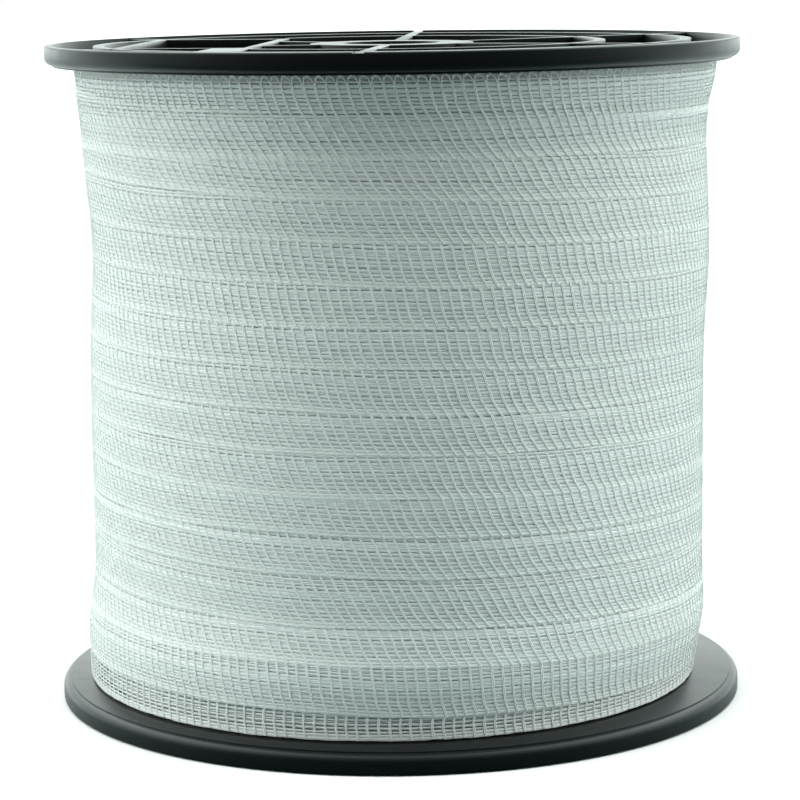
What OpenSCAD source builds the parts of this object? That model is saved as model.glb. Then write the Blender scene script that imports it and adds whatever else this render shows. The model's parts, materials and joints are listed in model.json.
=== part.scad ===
// Spool of white woven fence tape: two ribbed plastic flanges snapped onto a barrel,
// and one length of open-weave tape wound on it in half-lapped turns.
// Millimetres. The spool's axis is Z, and it stands on its lower flange at z = 0.

/* [Spool] */
// Outer diameter of both flanges
flange_d = 185; // [172:1:220]
// Overall height, standing on one flange
spool_h = 176.2; // [130:0.1:240]
// Thickness of a flange, from the outer plane of its rim to its smooth face
flange_t = 5.5; // [5:0.1:8]
// Width of the rim, measured inwards from the outer edge
rim_w = 2.1; // [1.8:0.1:4]
// Rounding of the rim on the side of the winding
rim_round = 2.1; // [1:0.1:3]
// Rounding of the rim on the outer side
rim_edge = 0.6; // [0.2:0.1:1.2]
// Step from the smooth face down to the rounded rim
rim_step = 0.4; // [0.2:0.05:0.8]
// Thickness of the flange's web
web_t = 2; // [1.4:0.1:3]

/* [Hub] */
// Bore for the spindle
bore_d = 25.8; // [20:0.1:32]
// Diameter of the boss on the outer face
boss_d = 43.6; // [38:0.1:50]
// Depth of the boss below the rim
boss_drop = 0.75; // [0:0.05:1.5]
// Wall of the sleeve that runs inside the barrel
sleeve_wall = 3; // [2:0.1:5]
// Reach of the sleeve from the web into the barrel
sleeve_reach = 22; // [10:1:40]

/* [Ribs] */
// Width of the ribs on the outer face
rib_w = 2.8; // [1.8:0.1:4]
// Depth of the ribs below the rim, at the flange's edge
rib_drop = 0.3; // [0.1:0.05:1]
// How much deeper the ribs lie towards the axis, because the flange is dished
rib_dish = 0.6; // [0.1:0.05:1]
// Number of spokes
spokes = 6; // [4:1:10]
// Diameter of the ring rib over the barrel
inner_ring_d = 111; // [100:0.1:125]
// Diameter of the ring rib near the rim
outer_ring_d = 156.4; // [148:0.1:166]
// Direction of the framed panel, seen on the outer face of the top flange
panel_a = 175; // [165:1:195]
// Distance of the panel's near edge from the axis
panel_near = 32.3; // [28:0.1:40]
// Radial width of the panel
panel_w = 37.2; // [24:0.1:38]
// Length of the panel across its direction
panel_len = 77; // [50:1:84]
// Width of the flat bridge between the panel and the rim
bridge_w = 10.5; // [6:0.5:14]

/* [Barrel] */
// Outer diameter of the barrel
barrel_d = 100; // [86:1:110]
// Wall of the barrel
barrel_wall = 2.6; // [2:0.1:4]
// Depth of the flange's collar inside the barrel
collar_h = 12; // [9:0.5:18]
// Wall of the collar
collar_wall = 2.4; // [1.8:0.1:3.5]
// Radial clearance between the collar and the barrel
collar_fit = 0.15; // [0.1:0.05:0.4]
// Number of snap hooks on each collar
hooks = 3; // [3:1:6]
// Width of a snap hook
hook_w = 14; // [8:0.5:18]
// Height of a snap hook
hook_h = 3; // [2:0.1:5]
// Reach of a snap hook into the barrel's window
hook_reach = 1.4; // [0.8:0.1:1.8]
// Clearance of a hook in its window
window_fit = 0.3; // [0.2:0.05:0.6]
// Relief slot on each side of a hook
relief_w = 1.6; // [1:0.1:2.5]
// Width of the slot that holds the start of the tape
slot_w = 2.4; // [1.8:0.1:4]

/* [Tape] */
// Width of the tape
tape_w = 20; // [16:0.5:24]
// Thickness of the tape over its weave
tape_t = 0.7; // [0.4:0.05:1]
// Diameter over the lower edges of the outer turns
wound_d = 167.4; // [155:0.1:169]
// Climb of the tape in one turn, before it is fitted to the height
lay_pitch = 10.2; // [8.5:0.1:14]
// Clearance between turns where one laps the next
lap_gap = 0.5; // [0.45:0.05:0.9]
// Clearance between the winding and the flanges
end_gap = 0.4; // [0.3:0.05:1]
// Clearance between a wound layer and what it lies on
lay_gap = 0.2; // [0.1:0.05:0.4]
// How far the last turn leans out under the top flange
top_flare = 3; // [0:0.1:4]
// Direction in which the outer layer starts and ends
end_a = 100; // [60:1:120]
// Length of the tape's start that lies inside the barrel
start_len = 40; // [20:1:80]

/* [Hidden] */
$fn = 96;

// How far solids that are fused reach into each other
fuse = 0.4;
// How far a cut runs past the face that it leaves
past = 1;
// Steps in a quarter round of the rim
arc_steps = 8;

// Flange, measured from its outer rim plane towards the winding
flange_r = flange_d / 2;
rim_in = flange_r - rim_w;
face_z = flange_t;
web_z = face_z - web_t;
rim_top = face_z - rim_step;
rib_top = web_z + fuse;
sleeve_r = bore_d / 2 + sleeve_wall;
collar_top = face_z + collar_h;
hub_len = face_z + sleeve_reach - boss_drop;

// Barrel between the two smooth faces
barrel_ro = barrel_d / 2;
barrel_ri = barrel_ro - barrel_wall;
collar_r = barrel_ri - collar_fit;
barrel_h = spool_h - 2 * face_z;
hook_z = collar_top - hook_h;
hook_sweep = (hook_w + relief_w) / collar_r * 180 / PI;
window_sweep = (hook_w + 2 * window_fit) / collar_r * 180 / PI;
slot_a = 180 / hooks;
slot_h = tape_w + 2 * lay_gap;
slot_z = spool_h / 2;

// Outer layer: one level turn, the climbing turns, and one level turn on top of them
rings = 24;
sides = 6;
clear_h = spool_h - 2 * face_z;
climb = clear_h - 2 * end_gap - tape_w;
climb_turns = round(climb / lay_pitch);
turns = climb_turns + 2;
pitch = climb / climb_turns;
first_z = face_z + end_gap + tape_w / 2;
lap_step = tape_t + lap_gap;
lean = lap_step * tape_w / pitch;
edge_taper = tape_t;
mid_r = wound_d / 2 - lean / 2 - tape_t / 2;
facet = cos(180 / rings);
core_r = (mid_r - lap_step - lean / 2 - tape_t / 2) * facet - lay_gap;
flare_turns = 0.3;

function clamp(x, low, high) = max(low, min(high, x));
function turn_z(u) = first_z + pitch * clamp(u - 1, 0, climb_turns);
function top_part(u) = clamp(u - 1 - climb_turns, 0, 1);
function turn_r(u) = mid_r + lap_step * (clamp(u, 0, 1) - 1 + top_part(u));
function lower_tip(u) = [turn_r(u) + lean / 2, turn_z(u) - tape_w / 2];
function upper_tip(u) =
    [turn_r(u) - lean / 2 + top_flare * min(1, top_part(u) / flare_turns), turn_z(u) + tape_w / 2];
function across(u) = let (v = upper_tip(u) - lower_tip(u)) v / norm(v);
function outward(u) = let (v = across(u)) [v[1], -v[0]] * tape_t / 2;

// Six corners of the tape at a place u turns along: two edges and two flat sides
function tape_section(u) = let (
    low = lower_tip(u), up = upper_tip(u), edge = across(u) * edge_taper, out = outward(u))
    [low, low + edge + out, up - edge + out, up, up - edge - out, low + edge - out];
function tape_ring(u) = let (a = end_a - 360 * u)
    [for (p = tape_section(u)) [p[0] * cos(a), p[0] * sin(a), p[1]]];

ring_count = turns * rings;
tape_points = [for (k = [0 : ring_count]) each tape_ring(k / rings)];
tape_skin = [for (k = [0 : ring_count - 1], s = [0 : sides - 1])
    let (a = k * sides + s, b = k * sides + (s + 1) % sides)
    each [[a, a + sides, b], [b, a + sides, b + sides]]];
tape_start_cap = [for (s = [1 : sides - 2]) [0, s, s + 1]];
tape_end_cap = let (e = ring_count * sides) [for (s = [1 : sides - 2]) [e, e + s + 1, e + s]];

// Least gap of the winding to itself, between each turn and the next, on points of their flat sides
side_steps = 12;
function side_points(u, first, last) = let (c = tape_section(u))
    [for (i = [0 : side_steps]) c[first] + (c[last] - c[first]) * i / side_steps];
turn_gaps = [for (k = [0 : ring_count - rings])
    min([for (p = side_points(k / rings, 1, 2), q = side_points(k / rings + 1, 5, 4)) norm(q - p)])];
echo(str("turns ", turns, ", pitch ", pitch, " mm, least gap of the winding to itself ",  // tape_outer_layer
        min(turn_gaps) * facet, " mm"));

module ring_block(inner, outer, low, high) {
    translate([inner, low]) square([outer - inner, high - low]);
}

// Points of a quarter round, from one angle to the other
function arc(centre, r, from, to) =
    [for (i = [0 : arc_steps]) let (a = from + (to - from) * i / arc_steps) centre + r * [cos(a), sin(a)]];

// Height of the dished ribs at a distance from the axis
function rib_z(r) = rib_drop + rib_dish * (1 - r / flange_r);

// Everything on a flange that is turned about the axis, as a half section from the bore outwards
module flange_section() {
    bore_r = bore_d / 2;
    boss_r = boss_d / 2;
    ring_in = (outer_ring_d - rib_w) / 2;
    ring_out = (outer_ring_d + rib_w) / 2;
    collar_in = collar_r - collar_wall;
    round_r = min(rim_round, rim_top - rim_edge);
    polygon(concat(
        [[bore_r, boss_drop], [boss_r, boss_drop], [boss_r, web_z]],
        [[ring_in, web_z], [ring_in, rib_z(ring_in)], [ring_out, rib_z(ring_out)], [ring_out, web_z]],
        [[rim_in, web_z], [rim_in, 0]],
        arc([flange_r - rim_edge, rim_edge], rim_edge, -90, 0),
        arc([flange_r - round_r, rim_top - round_r], round_r, 0, 90),
        [[flange_r - round_r, face_z]],
        [[collar_r, face_z], [collar_r, collar_top], [collar_in, collar_top], [collar_in, face_z]],
        [[sleeve_r, face_z], [sleeve_r, boss_drop + hub_len], [bore_r, boss_drop + hub_len]]));
}

// Box in the panel's own directions: out along its axis, and across it
module panel_box(near, far, half_len, low, high) {
    translate([near, -half_len, low]) cube([far - near, 2 * half_len, high - low]);
}

// Spokes and the ring over the barrel, which stop at the panel's frame
module spokes_and_ring() {
    difference() {
        union() {
            for (i = [0 : spokes - 1])
                rotate([0, 0, (i + 0.5) * 360 / spokes])
                    translate([boss_d / 2 - fuse, -rib_w / 2, rib_drop])
                        cube([rim_in + fuse - boss_d / 2 + fuse, rib_w, rib_top - rib_drop]);
            rotate_extrude()
                ring_block(inner_ring_d / 2 - rib_w / 2, inner_ring_d / 2 + rib_w / 2, rib_drop, rib_top);
        }
        panel_box(panel_near, panel_near + panel_w, panel_len / 2, rib_drop - past, rib_top + past);
    }
}

// Frame round the panel, with a flat bridge from one end to the rim
module panel_frame() {
    half = panel_len / 2;
    difference() {
        panel_box(panel_near, panel_near + panel_w, half, rib_drop, rib_top);
        panel_box(panel_near + rib_w, panel_near + panel_w - rib_w, half - rib_w,
            rib_drop - past, rib_top + past);
    }
    intersection() {
        translate([0, 0, rib_drop]) cylinder(h = rib_top - rib_drop, r = rim_in + fuse);
        translate([panel_near, fuse - half - flange_r, rib_drop - past])
            cube([bridge_w, flange_r, rib_top - rib_drop + 2 * past]);
    }
}

// All the ribs that stop at the panel, cut to the flange's dish
module dished_ribs() {
    intersection() {
        union() {
            spokes_and_ring();
            panel_frame();
        }
        rotate_extrude()
            polygon([[0, rib_z(0)], [flange_r, rib_z(flange_r)],
                [flange_r, rib_top + past], [0, rib_top + past]]);
    }
}

// Notches that take the two spokes beside the panel through the rim
module rim_notches() {
    for (side = [-1, 1])
        rotate([0, 0, side * 90])
            translate([rim_in - past, -rib_w / 2, -past]) cube([rim_w + 2 * past, rib_w, past + rib_drop]);
}

// Snap hooks on the end of the collar, which the relief slots then cut to width
module hook_set() {
    for (i = [0 : hooks - 1])
        rotate([0, 0, i * 360 / hooks - hook_sweep / 2])
            rotate_extrude(angle = hook_sweep)
                polygon([[collar_r - fuse, hook_z], [collar_r + hook_reach, hook_z],
                    [collar_r + hook_reach, hook_z + hook_h / 3], [collar_r, collar_top],
                    [collar_r - fuse, collar_top]]);
}

// Slots beside each hook, which let it bend as the flange is pushed home
module relief_slots() {
    for (i = [0 : hooks - 1], side = [-1, 1])
        rotate([0, 0, i * 360 / hooks])
            translate([collar_r - collar_wall - past,
                    side * (hook_w + relief_w) / 2 - relief_w / 2, face_z + past])
                cube([collar_wall + hook_reach + 2 * past, relief_w, collar_h]);
}

// One moulded flange: ribbed outside, smooth towards the winding, with its collar and sleeve
module flange(panel_turn) {
    color([0.07, 0.075, 0.08])
    difference() {
        union() {
            rotate_extrude() flange_section();
            rotate([0, 0, panel_turn]) dished_ribs();
            hook_set();
        }
        relief_slots();
        rotate([0, 0, panel_turn]) rim_notches();
    }
}

module bottom_flange() {
    flange(panel_a);
}

module top_flange() {
    translate([0, 0, spool_h]) rotate([180, 0, 0]) flange(-panel_a);
}

// Moulded tube between the flanges, with windows for the hooks and a slot for the tape
module barrel() {
    color([0.09, 0.095, 0.1])
    translate([0, 0, face_z])
    difference() {
        cylinder(h = barrel_h, r = barrel_ro);
        translate([0, 0, -past]) cylinder(h = barrel_h + 2 * past, r = barrel_ri);
        for (i = [0 : hooks - 1], top = [0, 1])
            translate([0, 0, top * barrel_h])
                mirror([0, 0, top])
                    rotate([0, 0, i * 360 / hooks - window_sweep / 2])
                        rotate_extrude(angle = window_sweep)
                            ring_block(barrel_ri - past, barrel_ro + past,
                                hook_z - face_z - window_fit, collar_h + window_fit);
        rotate([0, 0, slot_a])
            translate([barrel_ri - past, -slot_w / 2, slot_z - face_z - slot_h / 2])
                cube([barrel_wall + 2 * past, slot_w, slot_h]);
    }
}

// Start of the tape: in through the slot, then laid back along the barrel's inside
module tape_start() {
    lie_r = barrel_ri - lay_gap;
    sweep = start_len / lie_r * 180 / PI;
    color([0.93, 0.95, 0.94])
    translate([0, 0, slot_z - tape_w / 2])
    rotate([0, 0, slot_a]) {
        translate([lie_r - tape_t, -tape_t / 2, 0]) cube([barrel_ro - lie_r + tape_t, tape_t, tape_w]);
        rotate_extrude(angle = sweep) ring_block(lie_r - tape_t, lie_r, 0, tape_w);
    }
}

// Tape under the outer layer, as one plain ring
module tape_inner_layers() {
    color([0.8, 0.83, 0.82])
    translate([0, 0, face_z + end_gap])
    rotate_extrude()
        ring_block(barrel_ro + lay_gap, core_r, 0, clear_h - 2 * end_gap);
}

// Outer layer of the tape, in half-lapped turns
module tape_outer_layer() {
    color([0.93, 0.95, 0.94])
    polyhedron(points = tape_points, faces = concat(tape_start_cap, tape_skin, tape_end_cap), convexity = 10);
}

bottom_flange();
top_flange();
barrel();
tape_start();
tape_inner_layers();
tape_outer_layer();
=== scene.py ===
import json
import math

import bpy
import numpy as np
from mathutils import Matrix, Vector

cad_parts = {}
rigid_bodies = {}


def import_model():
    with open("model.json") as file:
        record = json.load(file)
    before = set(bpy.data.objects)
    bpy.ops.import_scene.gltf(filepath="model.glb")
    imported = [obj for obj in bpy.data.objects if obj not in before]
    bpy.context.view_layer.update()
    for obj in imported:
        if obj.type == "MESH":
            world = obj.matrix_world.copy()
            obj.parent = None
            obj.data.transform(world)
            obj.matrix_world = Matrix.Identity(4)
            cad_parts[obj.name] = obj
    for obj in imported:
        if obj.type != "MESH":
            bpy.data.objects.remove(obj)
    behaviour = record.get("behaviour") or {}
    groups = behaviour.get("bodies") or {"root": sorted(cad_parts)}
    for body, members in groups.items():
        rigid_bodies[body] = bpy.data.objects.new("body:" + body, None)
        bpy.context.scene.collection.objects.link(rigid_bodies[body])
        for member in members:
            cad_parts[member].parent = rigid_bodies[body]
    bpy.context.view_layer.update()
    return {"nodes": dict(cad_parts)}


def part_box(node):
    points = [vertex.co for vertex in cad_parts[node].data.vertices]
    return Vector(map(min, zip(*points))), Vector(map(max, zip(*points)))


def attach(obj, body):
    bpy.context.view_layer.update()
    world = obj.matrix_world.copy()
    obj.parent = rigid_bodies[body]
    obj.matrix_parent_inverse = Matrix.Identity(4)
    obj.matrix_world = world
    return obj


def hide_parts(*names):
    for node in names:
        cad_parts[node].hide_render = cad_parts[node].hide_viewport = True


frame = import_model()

# Bottom flange
# Black polypropylene disc, injection moulded: rim, spokes and ring ribs on the outer side, a smooth face
# towards the tape, and a sleeve and a collar on which the barrel is pushed until it snaps.
mm = 0.001
rim_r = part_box("bottom_flange")[1][0]
rim_w = 2.1 * mm
rim_round = 2.1 * mm
rim_edge = 0.6 * mm
rim_top = 5.1 * mm
face_z = 5.5 * mm
web_z = 3.5 * mm
bore_r = 12.9 * mm
boss_r = 21.8 * mm
boss_z = 0.75 * mm
sleeve_r = 15.9 * mm
sleeve_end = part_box("bottom_flange")[1][2]
collar_r = 47.25 * mm
collar_w = 2.4 * mm
collar_top = 17.5 * mm
rib_w = 2.8 * mm
rib_z = 0.3 * mm
rib_dish = 0.6 * mm
inner_ring_r = 55.5 * mm
outer_ring_r = 78.2 * mm
panel_near = 32.3 * mm
panel_w = 37.2 * mm
panel_len = 77 * mm
bridge_w = 10.5 * mm
panel_turn = math.radians(175)
spoke_count = 6
panel_reach = math.radians(60)
hook_count = 3
hook_w = 14 * mm
hook_h = 3 * mm
hook_reach = 1.2 * mm
hook_inset = 0.4 * mm
round_steps = 360
inner_ring_steps = 126
rim_edge_steps = 4
edge_round = 0.3 * mm
grain_depth = 0.1 * mm
rounded_over = math.radians(40)
smooth_under = math.radians(32)
sunk = 0.3 * mm
seam_gap = 0.001 * mm


def select_only(piece):
    """Makes one object the only selected one, and the active one."""
    bpy.ops.object.select_all(action="DESELECT")
    piece.select_set(True)
    bpy.context.view_layer.objects.active = piece


def begin_piece(name):
    """A new object with an empty mesh, in edit mode."""
    bpy.ops.object.select_all(action="DESELECT")
    bpy.ops.mesh.primitive_plane_add(size=1)
    piece = bpy.context.object
    piece.name = name
    piece.data.name = name
    bpy.ops.object.mode_set(mode="EDIT")
    bpy.ops.mesh.delete(type="VERT")
    return piece


def close_piece():
    """Merges the seams, turns the faces outwards and leaves edit mode."""
    bpy.ops.mesh.select_all(action="SELECT")
    bpy.ops.mesh.remove_doubles(threshold=seam_gap)
    bpy.ops.mesh.normals_make_consistent(inside=False)
    bpy.ops.object.mode_set(mode="OBJECT")


def trace(points):
    """Draws a line through (radius, height) points in the plane of X and Z."""
    corners = [(r, 0.0, z) for r, z in points]
    bpy.ops.mesh.select_all(action="DESELECT")
    bpy.ops.mesh.primitive_circle_add(vertices=3, radius=mm, location=corners[0])
    bpy.ops.mesh.merge(type="CENTER")
    for here, there in zip(corners, corners[1:]):
        step = [b - a for a, b in zip(here, there)]
        bpy.ops.mesh.extrude_vertices_move(TRANSFORM_OT_translate={"value": step})
    bpy.ops.mesh.select_linked()


def turned(name, points):
    """A closed outline, turned about the spool's axis."""
    piece = begin_piece(name)
    trace(points + points[:1])
    bpy.ops.mesh.spin(steps=round_steps, angle=2 * math.pi, center=(0, 0, 0), axis=(0, 0, 1))
    close_piece()
    return piece


def arc(centre, r, start, end, steps=8):
    """Points of a rounded corner, angles in degrees."""
    angles = np.radians(np.linspace(start, end, steps + 1))
    return [(centre[0] + r * math.cos(a), centre[1] + r * math.sin(a)) for a in angles]


def soften(piece, width, segments=2):
    """Rounds the sharp edges and shades the rest smooth."""
    select_only(piece)
    bpy.ops.object.modifier_add(type="BEVEL")
    rounding = piece.modifiers[-1]
    rounding.width = width
    rounding.segments = segments
    rounding.limit_method = "ANGLE"
    rounding.angle_limit = rounded_over
    bpy.ops.object.modifier_apply(modifier=rounding.name)
    bpy.ops.object.shade_smooth_by_angle(angle=smooth_under)


def bar(name, low, high):
    """A straight rib between two corners."""
    piece = begin_piece(name)
    bpy.ops.mesh.primitive_cube_add(size=1, location=(0, 0, 0))
    bpy.ops.transform.resize(value=[b - a for a, b in zip(low, high)], center_override=(0, 0, 0))
    bpy.ops.transform.translate(value=[(a + b) / 2 for a, b in zip(low, high)])
    close_piece()
    return piece


def turn_about_axis(piece, angle):
    """Turns a piece's mesh about the spool's axis. With no window the operator turns the other way."""
    select_only(piece)
    bpy.ops.object.mode_set(mode="EDIT")
    bpy.ops.mesh.select_all(action="SELECT")
    bpy.ops.transform.rotate(value=-angle, orient_axis="Z", center_override=(0, 0, 0))
    bpy.ops.object.mode_set(mode="OBJECT")


def dished(r):
    """Height of the ribs' outer side, which sinks a little towards the axis."""
    return rib_z + rib_dish * (1 - r / rim_r)


def spoke(near, far, angle):
    """A rib along a radius, sunk a little into the web."""
    piece = bar("spoke", (near, -rib_w / 2, rib_z), (far, rib_w / 2, web_z + sunk))
    turn_about_axis(piece, angle)
    return piece


def panel_frame():
    """Four ribs in a rectangle, from one plane that is inset and extruded."""
    piece = begin_piece("panel_frame")
    bpy.ops.mesh.primitive_plane_add(size=1, location=(0, 0, 0))
    bpy.ops.transform.resize(value=(panel_w, panel_len, 1), center_override=(0, 0, 0))
    bpy.ops.mesh.inset(thickness=rib_w)
    bpy.ops.mesh.delete(type="FACE")
    bpy.ops.mesh.select_all(action="SELECT")
    bpy.ops.transform.translate(value=(panel_near + panel_w / 2, 0, rib_z))
    bpy.ops.mesh.extrude_region_move(TRANSFORM_OT_translate={"value": (0, 0, web_z + sunk - rib_z)})
    close_piece()
    return piece


def bridge():
    """Flat bar from one end of the panel out to the rim, cut along the rim."""
    low = (panel_near, -rim_r, rib_z)
    high = (panel_near + bridge_w, sunk - panel_len / 2, web_z + sunk)
    piece = bar("bridge", low, high)
    middle_x = panel_near + bridge_w / 2
    cut_r = rim_r - rim_w / 2
    cut = (middle_x, -math.sqrt(cut_r ** 2 - middle_x ** 2), 0)
    bpy.ops.object.mode_set(mode="EDIT")
    bpy.ops.mesh.select_all(action="SELECT")
    bpy.ops.mesh.bisect(plane_co=cut, plane_no=cut, clear_outer=True, use_fill=True)
    close_piece()
    return piece


def inner_ring():
    """Ring rib over the barrel, open where the panel is."""
    gap = math.acos((panel_near + rib_w / 2) / inner_ring_r)
    piece = begin_piece("inner_ring")
    bpy.ops.mesh.primitive_plane_add(size=1, location=(0, 0, 0), rotation=(math.pi / 2, 0, 0))
    bpy.ops.transform.resize(value=(rib_w, 1, web_z + sunk - rib_z), center_override=(0, 0, 0))
    bpy.ops.transform.translate(value=(inner_ring_r, 0, (web_z + sunk + rib_z) / 2))
    bpy.ops.mesh.spin(steps=inner_ring_steps, angle=-2 * (math.pi - gap), center=(0, 0, 0), axis=(0, 0, 1))
    close_piece()
    turn_about_axis(piece, gap)
    return piece


def rib_set():
    """All the ribs that stop at the panel, with the panel's middle on +X."""
    frame_near = panel_near + rib_w / 2
    frame_far = panel_near + panel_w - rib_w / 2
    boss_foot = boss_r - sunk
    rim_foot = rim_r - rim_w + sunk
    ribs = [panel_frame(), inner_ring(), bridge()]
    for i in range(spoke_count):
        angle = (i + 0.5) * 2 * math.pi / spoke_count
        if math.cos(angle) > math.cos(panel_reach):
            ribs.append(spoke(boss_foot, frame_near / math.cos(angle), angle))
            ribs.append(spoke(frame_far / math.cos(angle), rim_foot, angle))
        else:
            ribs.append(spoke(boss_foot, rim_foot, angle))
    return ribs


def cut_notch(disc, angle):
    """Opens the rim where a spoke passes through it."""
    notch = bar("notch", (rim_r - 2 * rim_w, -rib_w / 2, -rim_w), (rim_r + rim_w, rib_w / 2, rib_z))
    turn_about_axis(notch, angle)
    select_only(disc)
    bpy.ops.object.modifier_add(type="BOOLEAN")
    cut = disc.modifiers[-1]
    cut.object = notch
    bpy.ops.object.modifier_apply(modifier=cut.name)
    bpy.data.objects.remove(notch)


def snap_hooks():
    """Catches on the collar that hold in the barrel's windows."""
    hooks = []
    for i in range(hook_count):
        low = (collar_r - collar_w / 2, -hook_w / 2, collar_top - hook_h)
        high = (collar_r + hook_reach, hook_w / 2, collar_top - hook_inset)
        hook = bar("hook", low, high)
        turn_about_axis(hook, i * 2 * math.pi / hook_count)
        hooks.append(hook)
    return hooks


def join_pieces(name, pieces):
    """Joins pieces into the first one, under a new name."""
    bpy.ops.object.select_all(action="DESELECT")
    for piece in pieces:
        piece.select_set(True)
    bpy.context.view_layer.objects.active = pieces[0]
    bpy.ops.object.join()
    pieces[0].name = name
    pieces[0].data.name = name
    return pieces[0]


def flange(name, turn):
    """One flange with its outer rim plane at z = 0 and its smooth face up."""
    ring_in = outer_ring_r - rib_w / 2
    ring_out = outer_ring_r + rib_w / 2
    rim_in = rim_r - rim_w
    collar_in = collar_r - collar_w
    disc = turned("disc", (
        [(bore_r, boss_z), (boss_r, boss_z), (boss_r, web_z), (ring_in, web_z), (ring_in, dished(ring_in))]
        + [(ring_out, dished(ring_out)), (ring_out, web_z), (rim_in, web_z), (rim_in, 0)]
        + arc((rim_r - rim_edge, rim_edge), rim_edge, -90, 0, rim_edge_steps)
        + arc((rim_r - rim_round, rim_top - rim_round), rim_round, 0, 90)
        + [(rim_r - rim_round, face_z), (collar_r, face_z), (collar_r, collar_top)]
        + [(collar_in, collar_top), (collar_in, face_z), (sleeve_r, face_z)]
        + [(sleeve_r, sleeve_end), (bore_r, sleeve_end)]))
    for side in (-1, 1):
        cut_notch(disc, turn + side * math.pi / 2)
    ribs = join_pieces("ribs", rib_set())
    for corner in ribs.data.vertices:
        if corner.co.z < rib_z + edge_round:
            corner.co.z = dished(corner.co.xy.length)
    turn_about_axis(ribs, turn)
    piece = join_pieces(name, [disc, ribs] + snap_hooks())
    soften(piece, edge_round)
    return piece


def black_plastic(name):
    """Satin polypropylene with the fine grain of its mould."""
    plastic = bpy.data.materials.new(name)
    plastic.use_nodes = True
    nodes = plastic.node_tree.nodes
    links = plastic.node_tree.links
    shader = nodes["Principled BSDF"]
    shader.inputs["Base Color"].default_value = (0.006, 0.0064, 0.007, 1)
    shader.inputs["Specular IOR Level"].default_value = 0.25
    shader.inputs["Specular Tint"].default_value = (0.92, 0.99, 1.0, 1)
    place = nodes.new("ShaderNodeTexCoord")
    haze = nodes.new("ShaderNodeTexNoise")
    haze.inputs["Scale"].default_value = 160
    haze.inputs["Detail"].default_value = 5
    gloss = nodes.new("ShaderNodeMapRange")
    gloss.inputs["From Min"].default_value = 0.3
    gloss.inputs["From Max"].default_value = 0.7
    gloss.inputs["To Min"].default_value = 0.33
    gloss.inputs["To Max"].default_value = 0.37
    grain = nodes.new("ShaderNodeTexNoise")
    grain.inputs["Scale"].default_value = 3200
    relief = nodes.new("ShaderNodeBump")
    relief.inputs["Strength"].default_value = 0.06
    relief.inputs["Distance"].default_value = grain_depth
    links.new(place.outputs["Object"], haze.inputs["Vector"])
    links.new(place.outputs["Object"], grain.inputs["Vector"])
    links.new(haze.outputs["Fac"], gloss.inputs["Value"])
    links.new(gloss.outputs["Result"], shader.inputs["Roughness"])
    links.new(grain.outputs["Fac"], relief.inputs["Height"])
    links.new(relief.outputs["Normal"], shader.inputs["Normal"])
    return plastic


flange_plastic = black_plastic("flange_plastic")
bottom = flange("bottom_flange_moulding", panel_turn)
bottom.data.materials.append(flange_plastic)
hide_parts("bottom_flange")
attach(bottom, "root")

# Barrel
# Moulded tube of the same plastic between the flanges, with windows for the catches and a slot for the tape.
# It is hidden by the winding, so the shape from the frame is shown as it is.
barrel_tube = frame["nodes"]["barrel"]
barrel_tube.data.materials.clear()
barrel_tube.data.materials.append(flange_plastic)

# Top flange
# The same black moulding, turned over and pushed onto the barrel's other end until its catches snap in. Its
# ribs show from above.
spool_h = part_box("top_flange")[1][2]
top = flange("top_flange_moulding", -panel_turn)
bpy.ops.object.mode_set(mode="EDIT")
bpy.ops.mesh.select_all(action="SELECT")
bpy.ops.transform.rotate(value=math.pi, orient_axis="X", center_override=(0, 0, spool_h / 2))
bpy.ops.object.mode_set(mode="OBJECT")
top.data.materials.append(flange_plastic)
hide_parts("top_flange")
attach(top, "root")

# Inner layers of the tape
# The tape wound under the outer layer, a firm white body that is hollow at both ends, where the last turns
# stand off it. Its outermost threads show through the holes of the turns above them.
cloth_t = 0.27 * mm
thread_rise = 0.18 * mm
wound_r = 83.0
# How far, at which height and over what height the winding swells, in mm: all round, and towards +X.
swells = [(2.9, 171, 13), (0.4, 144, 12), (1.1, 22, 9)]
right_swells = [(0.8, 168, 8), (1.6, 122, 20), (-2.2, 6, 18)]
wound_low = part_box("tape_outer_layer")[0][2]
wound_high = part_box("tape_outer_layer")[1][2]


def wound_radius(z, angle):
    """Radius over the finished winding: fuller near both ends, and off centre as a quick winding is."""
    z = np.asarray(z) / mm

    def swollen(start, places):
        """A radius, or a part of one, with its swells."""
        return sum((far * np.exp(-((z - middle) / spread) ** 2) for far, middle, spread in places), start)

    return (swollen(wound_r, swells) + swollen(0, right_swells) * np.cos(angle)) * mm


def bed_radius(z, angle):
    """Middle of the cloth where nothing of the outer layer lies beneath it."""
    return wound_radius(z, angle) - cloth_t - thread_rise


core_gap = 0.16 * mm
hollow_from = 161 * mm
hollow_depth = 1.5 * mm
foot_hollow_to = 14.5 * mm
foot_hollow_depth = 4.5 * mm
core_clear = 0.1 * mm
core_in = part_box("barrel")[1][0] + core_clear
core_blank_r = 80 * mm
core_rows = 40
core_smooth_under = math.radians(40)
heights = np.linspace(wound_low, wound_high, core_rows)
core_face = [(core_blank_r, float(z)) for z in heights]
core = turned("tape_core", [(core_in, wound_low)] + core_face + [(core_in, wound_high)])
for point in core.data.vertices:
    if point.co.xy.length > (core_in + core_blank_r) / 2:
        reach = bed_radius(point.co.z, math.atan2(point.co.y, point.co.x)) - core_gap
        if point.co.z > hollow_from:
            reach -= hollow_depth
        if point.co.z < foot_hollow_to:
            reach -= foot_hollow_depth
        point.co.xy *= float(reach) / point.co.xy.length
bpy.ops.object.shade_smooth_by_angle(angle=core_smooth_under)

depth_picks = 194.0
depth_slant = 6.0
depth_warp_step = 0.74 * mm
depth_warp_share = 0.7
# The ground's darker tone is painted shade in the gaps between the threads below.
depth_gap_shade = (0.84, 0.85, 0.83, 1)
depth_thread_tone = (0.94, 0.95, 0.93, 1)


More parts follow.
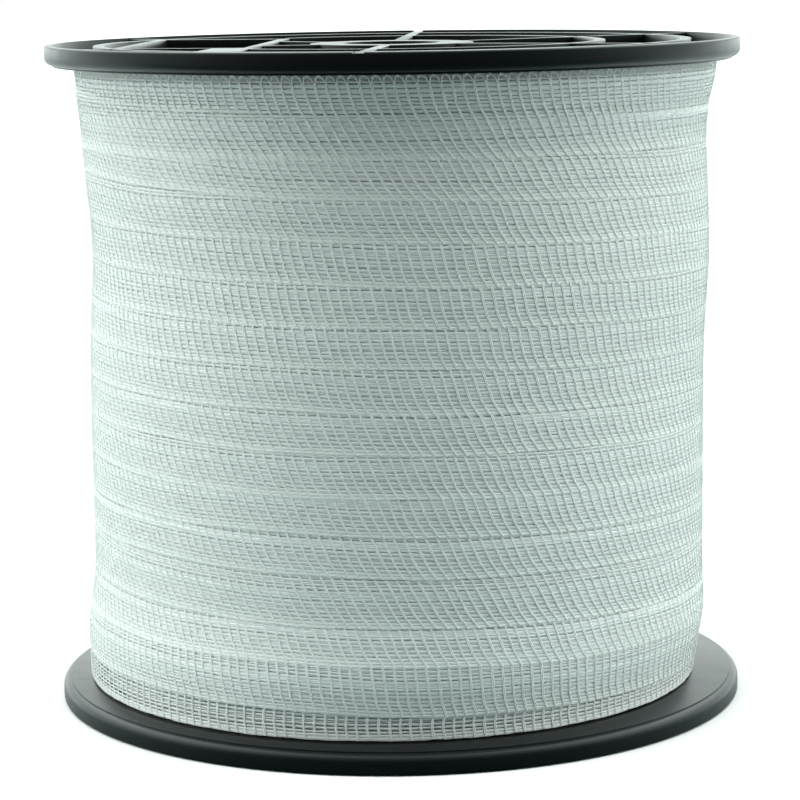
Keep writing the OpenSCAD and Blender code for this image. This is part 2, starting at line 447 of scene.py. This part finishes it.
def woven_depths(name):
    """Crossing threads of the layers below, bright on a ground darkened as painted shade in the gaps between
    them, drawn round the axis.
    """
    cloth = bpy.data.materials.new(name)
    cloth.use_nodes = True
    nodes = cloth.node_tree.nodes
    links = cloth.node_tree.links
    shader = nodes["Principled BSDF"]
    shader.inputs["Roughness"].default_value = 0.6
    place = nodes.new("ShaderNodeTexCoord")
    split = nodes.new("ShaderNodeSeparateXYZ")
    links.new(place.outputs["Object"], split.inputs["Vector"])

    def math_node(operation, first, second=None):
        """One step of the pattern's sum, from sockets or numbers."""
        node = nodes.new("ShaderNodeMath")
        node.operation = operation
        for socket, value in zip(node.inputs, (first, second)):
            if isinstance(value, bpy.types.NodeSocket):
                links.new(value, socket)
            elif value is not None:
                socket.default_value = value
        return node.outputs["Value"]

    angle = math_node("ARCTAN2", split.outputs["Y"], split.outputs["X"])
    slant = math_node("MULTIPLY", split.outputs["Z"], depth_slant)
    across = math_node("SINE", math_node("MULTIPLY", math_node("ADD", angle, slant), depth_picks))
    along = math_node("SINE", math_node("MULTIPLY", split.outputs["Z"], 2 * math.pi / depth_warp_step))
    cover = math_node("MAXIMUM", math_node("MULTIPLY", along, depth_warp_share), across)
    shade = nodes.new("ShaderNodeMapRange")
    shade.inputs["From Min"].default_value = 0.1
    shade.inputs["From Max"].default_value = 0.9
    mix = nodes.new("ShaderNodeMix")
    mix.data_type = "RGBA"
    mix.inputs["A"].default_value = depth_gap_shade
    mix.inputs["B"].default_value = depth_thread_tone
    links.new(cover, shade.inputs["Value"])
    links.new(shade.outputs["Result"], mix.inputs["Factor"])
    links.new(mix.outputs["Result"], shader.inputs["Base Color"])
    return cloth


core.data.materials.append(woven_depths("tape_depths"))
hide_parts("tape_inner_layers")
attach(core, "root")

# Outer layer of the tape
# Open-weave band of white polyethylene threads with fine steel wires, woven on a needle loom: each weft is
# a hairpin of two strands, with a loop at the upper edge and a tight turn in the lower selvedge.
tape_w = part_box("tape_start")[1][2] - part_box("tape_start")[0][2]
pick = 2.69 * mm
picks_per_turn = 194.37
picks_in_piece = 194
warp_w = 0.8
warp_t = 0.14 * mm
warp_rise = 0.03 * mm
low_selvedge = -9.85
high_selvedge = 9.45
# Warps below this place, in the lower selvedge, take the wefts' lighter tone: a painted highlight on the
# raised selvedge.
bright_selvedge = -8.1
warp_gaps = [
    (-8.1, 0.1), (-7.15, 0.17), (-6.15, 0.13), (-5.05, 0.36), (-4.0, 0.1), (-2.95, 0.18), (-1.45, 0.14),
    (-0.25, 0.22), (0.65, 0.15), (1.55, 0.4), (2.55, 0.2), (3.55, 0.24), (4.45, 0.26), (5.35, 0.26),
    (6.35, 0.26), (7.65, 0.26), (8.85, 0.4)]
weft_w = 0.36 * mm
weft_t = 0.14 * mm
weft_rise = 0.1 * mm
weft_low = -9.5 * mm
weft_high = 9.0 * mm
weft_steps = 6
strand_gap = 0.34 * mm
loop_stretch = 1.5
loop_steps = 4
thread_sides = 4
thread_seam = 0.002 * mm
repeat_seam = 0.005 * mm
# The warps are painted a tone darker than the wefts, though both are the same white polyethylene: painted
# shade where they lie under the wefts. Each tone also drifts at random along the threads.
warp_shaded_dull = (0.86, 0.87, 0.85, 1)
warp_shaded_clean = (0.94, 0.95, 0.93, 1)
weft_dull = (0.94, 0.945, 0.92, 1)
weft_clean = (0.98, 0.985, 0.96, 1)
steel_grey = (0.62, 0.63, 0.63, 1)
wire_d = 0.14 * mm
wire_places = [-5.05, -1.45, 1.55, 5.35, 8.85]


def warp_rows():
    """Places and widths of the flat threads along the tape, side by side between the gaps."""
    starts = [low_selvedge] + [place + wide / 2 for place, wide in warp_gaps]
    ends = [place - wide / 2 for place, wide in warp_gaps] + [high_selvedge]
    rows = []
    for start, end in zip(starts, ends):
        count = max(1, round((end - start) / warp_w))
        wide = (end - start) / count
        rows += [(start + wide * (k + 0.5), wide) for k in range(count)]
    return rows


def thread_ring(place, along, wide, thick):
    """Start of a thread: a flattened ring across its direction."""
    turn = (math.pi / 2, 0, math.pi / 2) if along == "X" else (math.pi / 2, 0, 0)
    size = (1, wide, thick) if along == "X" else (wide, 1, thick)
    bpy.ops.mesh.select_all(action="DESELECT")
    bpy.ops.mesh.primitive_circle_add(vertices=thread_sides, radius=0.5, location=place, rotation=turn)
    bpy.ops.transform.resize(value=size, center_override=place)


def draw_on(step):
    """Draws the thread that is selected at its end on by one step."""
    bpy.ops.mesh.extrude_region_move(TRANSFORM_OT_translate={"value": step})


def warp(place, rise, wide, thick):
    """One thread along the tape over two picks, up over one and down under the next."""
    thread_ring((pick / 2, place, rise), "X", wide, thick)
    draw_on((pick, 0, -2 * rise))
    draw_on((pick, 0, 2 * rise))


def weft_strand(place):
    """One straight strand across the tape, on top of the warps."""
    thread_ring((place, weft_low, weft_rise), "Y", weft_w, weft_t)
    for _ in range(weft_steps):
        draw_on((0, (weft_high - weft_low) / weft_steps, 0))


def weft_turn(start, reach, edge, stretch):
    """Loop from one strand to the next, round the tape's edge."""
    thread_ring((start, edge, weft_rise), "Y", weft_w, weft_t)
    way = math.pi if edge > 0 else -math.pi
    bpy.ops.mesh.spin(steps=loop_steps, angle=way, center=(start + reach / 2, edge, 0), axis=(0, 0, 1))
    bpy.ops.mesh.select_linked()
    bpy.ops.transform.resize(value=(1, stretch, 1), center_override=(start, edge, weft_rise))


def thread_material(name, dull, clean):
    """Satin white polyethylene, whose tone drifts a little along the thread."""
    thread = bpy.data.materials.new(name)
    thread.use_nodes = True
    nodes = thread.node_tree.nodes
    links = thread.node_tree.links
    shader = nodes["Principled BSDF"]
    shader.inputs["Base Color"].default_value = clean
    shader.inputs["Roughness"].default_value = 0.55
    shader.inputs["Specular IOR Level"].default_value = 0.3
    place = nodes.new("ShaderNodeTexCoord")
    drift = nodes.new("ShaderNodeTexNoise")
    drift.inputs["Scale"].default_value = 420
    drift.inputs["Detail"].default_value = 3
    spread = nodes.new("ShaderNodeMapRange")
    spread.inputs["From Min"].default_value = 0.3
    spread.inputs["From Max"].default_value = 0.7
    tone = nodes.new("ShaderNodeMix")
    tone.data_type = "RGBA"
    tone.inputs["A"].default_value = dull
    tone.inputs["B"].default_value = clean
    links.new(place.outputs["Object"], drift.inputs["Vector"])
    links.new(drift.outputs["Fac"], spread.inputs["Value"])
    links.new(spread.outputs["Result"], tone.inputs["Factor"])
    links.new(tone.outputs["Result"], shader.inputs["Base Color"])
    return thread


def finish_threads(slot):
    """Gives the threads just drawn their material and puts them aside."""
    bpy.ops.mesh.select_all(action="SELECT")
    bpy.ops.mesh.remove_doubles(threshold=thread_seam)
    strip.active_material_index = slot
    bpy.ops.object.material_slot_assign()
    bpy.ops.mesh.hide()


steel_wire = bpy.data.materials.new("steel_wire")
steel_wire.use_nodes = True
wire_shader = steel_wire.node_tree.nodes["Principled BSDF"]
wire_shader.inputs["Base Color"].default_value = steel_grey
wire_shader.inputs["Metallic"].default_value = 1.0
wire_shader.inputs["Roughness"].default_value = 0.35

strip = begin_piece("flat_strip")
strip.data.materials.append(thread_material("warp_thread_painted_shade", warp_shaded_dull, warp_shaded_clean))
strip.data.materials.append(thread_material("weft_thread", weft_dull, weft_clean))
strip.data.materials.append(steel_wire)
# Warps above the lower selvedge take the darker warp tone, painted shade under the wefts.
for i, (place, wide) in enumerate(warp_rows()):
    if place > bright_selvedge:
        warp(place * mm, warp_rise * (-1) ** i, wide * mm, warp_t)
finish_threads(0)
# The lower selvedge's warps go with the wefts and get their lighter tone, a painted highlight.
for i, (place, wide) in enumerate(warp_rows()):
    if place < bright_selvedge:
        warp(place * mm, warp_rise * (-1) ** i, wide * mm, warp_t)
for first in (pick / 2, 3 * pick / 2):
    weft_strand(first - strand_gap / 2)
    weft_strand(first + strand_gap / 2)
    weft_turn(first - strand_gap / 2, strand_gap, weft_low, 1)
    weft_turn(first + strand_gap / 2, pick - strand_gap, weft_high, loop_stretch)
finish_threads(1)
for i, place in enumerate(wire_places):
    warp(place * mm, warp_rise * (-1) ** i, wire_d, wire_d)
finish_threads(2)
bpy.ops.mesh.reveal()
bpy.ops.mesh.select_all(action="SELECT")
bpy.ops.mesh.normals_make_consistent(inside=False)
bpy.ops.object.mode_set(mode="OBJECT")
bpy.ops.object.modifier_add(type="ARRAY")
repeat = strip.modifiers[-1]
repeat.count = picks_in_piece // 2
repeat.use_relative_offset = False
repeat.use_constant_offset = True
repeat.constant_offset_displace = (2 * pick, 0, 0)
repeat.use_merge_vertices = True
repeat.merge_threshold = repeat_seam
bpy.ops.object.modifier_apply(modifier=repeat.name)
bpy.ops.object.mode_set(mode="EDIT")
bpy.ops.mesh.select_mode(type="EDGE")
bpy.ops.mesh.select_all(action="SELECT")
bpy.ops.mesh.fill_holes(sides=thread_sides)
bpy.ops.mesh.select_mode(type="VERT")
bpy.ops.mesh.normals_make_consistent(inside=False)
bpy.ops.object.mode_set(mode="OBJECT")
bpy.ops.object.shade_flat()

end_turn = 100 / 360
turn_count = 15
climb_turns = 14
top_turn = 13.93
turn_climb = (wound_high - wound_low - tape_w) / climb_turns
front_share = 190 / 360
turn_lift = [0, 0.08, 0.27, 0.2, 0.45, 0.43, 0.33, 0.42, 0.39, 0.45, 0.43, 0.43, 0.44, 0.44, 1.2]
weft_lean = [-7, 6, 20, 27, 23, 21, 21, 21, 17, 12, 12, 13, 23, 28, 27]
edge_curl = 0.9 * mm
curl_from = 5
curl_over = 4.6
curl_most = 1.2
upright_from = 4 * mm
upright_lean = 0.4
# Waves of the lay: how far, in mm, how many to a turn, and where they start.
lay_waves = [(0.22, 4.3, 1.7), (0.13, 9.7, 0)]
sway_from = 0.6
sway_growth = 4
pick_sway = 0.16 * mm
pick_waves = 37
thread_sway = 0.06 * mm
# Waves of the single threads: how many to a turn, and how they shift from thread to thread.
thread_waves = [(26.6, 2.1), (71, -4.4)]
second_turn_share = 0.2
warp_draw_in = 0.3
draw_in_from = 130 / 360
draw_in_ease = 30 * mm
edge_lead = 0.4 * mm
shortest_ease = 1.4 * mm
ease_per_free = 1.6


def by_turn(u, values):
    """A value chosen for each turn where it passes the front, blended along the tape."""
    return np.interp(u - front_share, np.arange(turn_count), values)


def turn_middle(u):
    """Height of the tape's middle, u turns along: level, climbing, level."""
    climbed = np.clip(u - 1, 0, climb_turns) + by_turn(u, turn_lift)
    sway = sum(far * np.sin(2 * math.pi * waves * u + start) for far, waves, start in lay_waves)
    settle = np.clip((turn_count - 1 - u) * sway_growth, 0, 1) * np.clip((u - sway_from) * sway_growth, 0, 1)
    middle = wound_low + tape_w / 2 + turn_climb * np.minimum(climbed, top_turn)
    return middle + sway * settle * mm


def covered(z, u):
    """Share of a turn's thickness that the turn u lays beneath height z, eased over its upper edge.

    The cloth above bridges that edge more gently where the turn after it leaves it free."""
    reach = turn_middle(u) + tape_w / 2 - z
    free = turn_middle(u + 2) - turn_middle(u) - tape_w
    ease = np.maximum(shortest_ease, ease_per_free * free)
    share = np.clip((reach + edge_lead + ease) / ease, 0, 1)
    return share * share * (3 - 2 * share) * (u > 0)


def wind(flat, first_pick):
    """Lays points of the flat strip (along, across, rise) round the spool."""
    along, across, rise = flat.T
    lean = np.tan(np.radians(by_turn((first_pick + along / pick) / picks_per_turn, weft_lean)))
    low_end = np.clip((-across / mm - curl_from) / curl_over, 0, curl_most)
    leaning = np.minimum(across, upright_from + upright_lean * (across - upright_from))
    along = along + lean * leaning - edge_curl * low_end ** 2
    u = (first_pick + along / pick) / picks_per_turn
    u += pick_sway * np.sin(2 * math.pi * pick_waves * u) / (pick * picks_per_turn)
    sway = sum(np.sin(2 * math.pi * waves * u + shift * across / mm) for waves, shift in thread_waves)
    z = turn_middle(u) + across + thread_sway * sway
    beneath = covered(z, u - 1) + second_turn_share * covered(z, u - 2)
    angle = 2 * math.pi * (end_turn - u)
    r = bed_radius(z, angle) + cloth_t * beneath + rise
    return np.column_stack((r * np.cos(angle), r * np.sin(angle), z))


def opened(flat):
    """The lowest turn hangs free of the layers below, its warps drawn in and the holes between them wider."""
    rows = np.array([place for place, wide in warp_rows()]) * mm
    middle = rows[np.abs(flat[:, 1, None] - rows).argmin(axis=1)]
    warps = np.zeros(len(flat), dtype=bool)
    for face in strip.data.polygons:
        if face.material_index == 0:
            warps[list(face.vertices)] = True
    to_end = (picks_in_piece * pick - flat[:, 0]) / draw_in_ease
    from_right = (flat[:, 0] / (pick * picks_per_turn) - draw_in_from) / (front_share - draw_in_from)
    draw_in = warp_draw_in * np.clip(to_end, 0, 1) * np.clip(from_right, 0, 1) * warps
    drawn = flat.copy()
    drawn[:, 1] -= draw_in * (flat[:, 1] - middle)
    return drawn


flat_points = np.empty(len(strip.data.vertices) * 3)
strip.data.vertices.foreach_get("co", flat_points)
flat_points = flat_points.reshape(-1, 3)
for i in range(turn_count):
    wound = strip.copy()
    wound.data = strip.data.copy()
    wound.name = wound.data.name = f"tape_turn_{i + 1:02d}"
    bpy.context.collection.objects.link(wound)
    flat = flat_points if i else opened(flat_points)
    wound.data.vertices.foreach_set("co", wind(flat, i * picks_in_piece).ravel())
    wound.data.flip_normals()
    wound.data.update()
    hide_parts("tape_outer_layer")
    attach(wound, "root")

# Start of the tape
# The first few centimetres of the same woven tape go in through the barrel's slot and lie back along its
# inside, out of sight, held by the turns that are wound over the slot.
start_low, start_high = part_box("tape_start")
start_inset = 3.2 * mm
start_len = 40 * mm
cut_sides = 8
start_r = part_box("barrel")[1][0] - start_inset
start_angle = math.radians(60)
start_piece = strip.copy()
start_piece.data = strip.data.copy()
start_piece.name = start_piece.data.name = "tape_start_strip"
bpy.context.collection.objects.link(start_piece)
select_only(start_piece)
bpy.ops.object.mode_set(mode="EDIT")
bpy.ops.mesh.select_all(action="SELECT")
bpy.ops.mesh.bisect(plane_co=(start_len, 0, 0), plane_no=(1, 0, 0), clear_outer=True)
bpy.ops.mesh.select_all(action="SELECT")
bpy.ops.mesh.fill_holes(sides=cut_sides)
bpy.ops.mesh.normals_make_consistent(inside=False)
bpy.ops.object.mode_set(mode="OBJECT")
start_points = np.empty(len(start_piece.data.vertices) * 3)
start_piece.data.vertices.foreach_get("co", start_points)
along, across, rise = start_points.reshape(-1, 3).T
angle = start_angle + along / start_r
r = start_r + rise
z = (start_low[2] + start_high[2]) / 2 + across
start_piece.data.vertices.foreach_set(
    "co", np.column_stack((r * np.cos(angle), r * np.sin(angle), z)).ravel())
start_piece.data.update()
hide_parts("tape_start")
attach(start_piece, "root")
bpy.data.objects.remove(strip)

# Floor, light and camera
# White studio: a pale floor, and soft light from low boxes at both sides and from above. Reflections see a
# bright far wall, and the camera sees a white backdrop and the pale floor. Other rays see the floor in
# painted
# shade: bounce light sees it dark all over, and reflections see it near black in front and pale behind.
floor_front = -0.36
floor_size = 8.0
floor_below = 0.2 * mm
floor_pale = (0.98, 0.94, 0.94, 1)
# Painted shade: the floor's colour for bounce light everywhere, and for reflections in front.
floor_painted_shade = (0.13, 0.2, 0.205, 1)
floor_far = (0.93, 0.99, 0.99, 1)
near_to = -0.09
far_from = 0.01
near_darker = -0.18
bpy.ops.object.select_all(action="DESELECT")
bpy.ops.mesh.primitive_plane_add(size=floor_size, location=(0, floor_front + floor_size / 2, -floor_below))
floor = bpy.context.object
floor.name = "floor"
floor_paint = bpy.data.materials.new("floor_paint")
floor_paint.use_nodes = True
floor_shader = floor_paint.node_tree.nodes["Principled BSDF"]
floor_shader.inputs["Roughness"].default_value = 0.9
floor_nodes = floor_paint.node_tree.nodes
floor_links = floor_paint.node_tree.links
floor_place = floor_nodes.new("ShaderNodeNewGeometry")
floor_split = floor_nodes.new("ShaderNodeSeparateXYZ")
floor_links.new(floor_place.outputs["Position"], floor_split.inputs["Vector"])
floor_back = floor_nodes.new("ShaderNodeMapRange")
floor_back.inputs["From Min"].default_value = near_to
floor_back.inputs["From Max"].default_value = far_from
floor_links.new(floor_split.outputs["Y"], floor_back.inputs["Value"])
floor_rays = floor_nodes.new("ShaderNodeLightPath")
floor_links.new(floor_rays.outputs["Is Glossy Ray"], floor_back.inputs["To Max"])
floor_dark = floor_nodes.new("ShaderNodeMath")
floor_dark.operation = "MULTIPLY"
floor_dark.inputs[1].default_value = near_darker
floor_links.new(floor_rays.outputs["Is Glossy Ray"], floor_dark.inputs[0])
floor_links.new(floor_dark.outputs["Value"], floor_back.inputs["To Min"])
# Painted shade for rays other than the camera's: dark in front and pale behind for reflections, dark all over
# for bounce light.
floor_shade_ramp = floor_nodes.new("ShaderNodeMix")
floor_shade_ramp.data_type = "RGBA"
floor_shade_ramp.clamp_factor = False
floor_shade_ramp.inputs["A"].default_value = floor_painted_shade
floor_shade_ramp.inputs["B"].default_value = floor_far
floor_links.new(floor_back.outputs["Result"], floor_shade_ramp.inputs["Factor"])
floor_tone = floor_nodes.new("ShaderNodeMix")
floor_tone.data_type = "RGBA"
floor_links.new(floor_shade_ramp.outputs["Result"], floor_tone.inputs["A"])
floor_tone.inputs["B"].default_value = floor_pale
floor_links.new(floor_rays.outputs["Is Camera Ray"], floor_tone.inputs["Factor"])
floor_links.new(floor_tone.outputs["Result"], floor_shader.inputs["Base Color"])
floor.data.materials.append(floor_paint)

scene = bpy.context.scene
studio = bpy.data.worlds.new("studio")
scene.world = studio
studio.use_nodes = True
studio_nodes = studio.node_tree.nodes
studio_links = studio.node_tree.links
direction = studio_nodes.new("ShaderNodeTexCoord")
split = studio_nodes.new("ShaderNodeSeparateXYZ")
studio_links.new(direction.outputs["Generated"], split.inputs["Vector"])


def light_ramp(axis, start, end, low, high):
    """Light that changes smoothly from low to high, between two directions along an axis."""
    ramp = studio_nodes.new("ShaderNodeMapRange")
    ramp.interpolation_type = "SMOOTHSTEP"
    for name, value in zip(("From Min", "From Max", "To Min", "To Max"), (start, end, low, high)):
        ramp.inputs[name].default_value = value
    studio_links.new(split.outputs[axis], ramp.inputs["Value"])
    return ramp.outputs["Result"]


def light_sum(operation, *terms):
    """Lights that are added, multiplied, or multiplied and then added to."""
    node = studio_nodes.new("ShaderNodeMath")
    node.operation = operation
    for term, socket in zip(terms, node.inputs):
        studio_links.new(term, socket)
    return node.outputs["Value"]


left_to_right = light_ramp("X", -1, 1, 1.07, 0.93)
side_boxes = light_sum(
    "MULTIPLY", light_ramp("Y", -0.65, -0.1, 0.03, 3.8), light_ramp("Y", 0.16, 0.4, 1, 0.2))
low_boxes = light_sum("MULTIPLY", left_to_right, light_ramp("Z", 0, 0.7, 1.55, 0.55))
on_the_tape = light_sum("MULTIPLY_ADD", side_boxes, low_boxes, light_ramp("Z", 0.8, 0.92, 0, 2.2))
from_above = light_ramp("Z", 0, 0.7, 0.54, 1.46)
overhead = light_ramp("Z", 0.3, 0.6, 0, 0.35)
far_wall = light_ramp("Y", -0.66, 0.25, 0.03, 2.36)
horizon = light_sum("MULTIPLY", light_ramp("Z", 0.05, 0.18, 1, 0), light_ramp("Y", 0.4, 0.8, 0, 1))
mirrored_wall = light_sum("MULTIPLY_ADD", far_wall, left_to_right, overhead)
in_the_gloss = light_sum("MULTIPLY", mirrored_wall, light_sum("ADD", from_above, horizon))
rays = studio_nodes.new("ShaderNodeLightPath")
by_ray = studio_nodes.new("ShaderNodeMix")
studio_links.new(rays.outputs["Is Glossy Ray"], by_ray.inputs["Factor"])
studio_links.new(on_the_tape, by_ray.inputs["A"])
studio_links.new(in_the_gloss, by_ray.inputs["B"])
soft_light = studio_nodes["Background"]
soft_light.inputs["Color"].default_value = (0.9, 0.995, 0.972, 1)
studio_links.new(by_ray.outputs["Result"], soft_light.inputs["Strength"])
backdrop = studio_nodes.new("ShaderNodeBackground")
backdrop.inputs["Color"].default_value = (1, 1, 1, 1)
choice = studio_nodes.new("ShaderNodeMixShader")
studio_links.new(rays.outputs["Is Camera Ray"], choice.inputs["Fac"])
studio_links.new(soft_light.outputs["Background"], choice.inputs[1])
studio_links.new(backdrop.outputs["Background"], choice.inputs[2])
studio_links.new(choice.outputs["Shader"], studio_nodes["World Output"].inputs["Surface"])
scene.view_settings.view_transform = "Standard"

lens_mm = 128.33
sensor_mm = 36
frame_shift = 0.0038
near_clip = 0.01
camera_at = (0, -0.76798, 0.19902)
looks_down = math.radians(8.9037)
leans = math.radians(-0.805)
camera = bpy.data.objects.new("camera", bpy.data.cameras.new("camera"))
scene.collection.objects.link(camera)
camera.data.sensor_width = sensor_mm
camera.data.lens = lens_mm
camera.data.shift_x = frame_shift
camera.data.clip_start = near_clip
camera_place = Matrix.Translation(camera_at)
camera_pitch = Matrix.Rotation(math.pi / 2 - looks_down, 4, "X")
camera_roll = Matrix.Rotation(leans, 4, "Z")
camera.matrix_world = camera_place @ camera_pitch @ camera_roll
scene.camera = camera
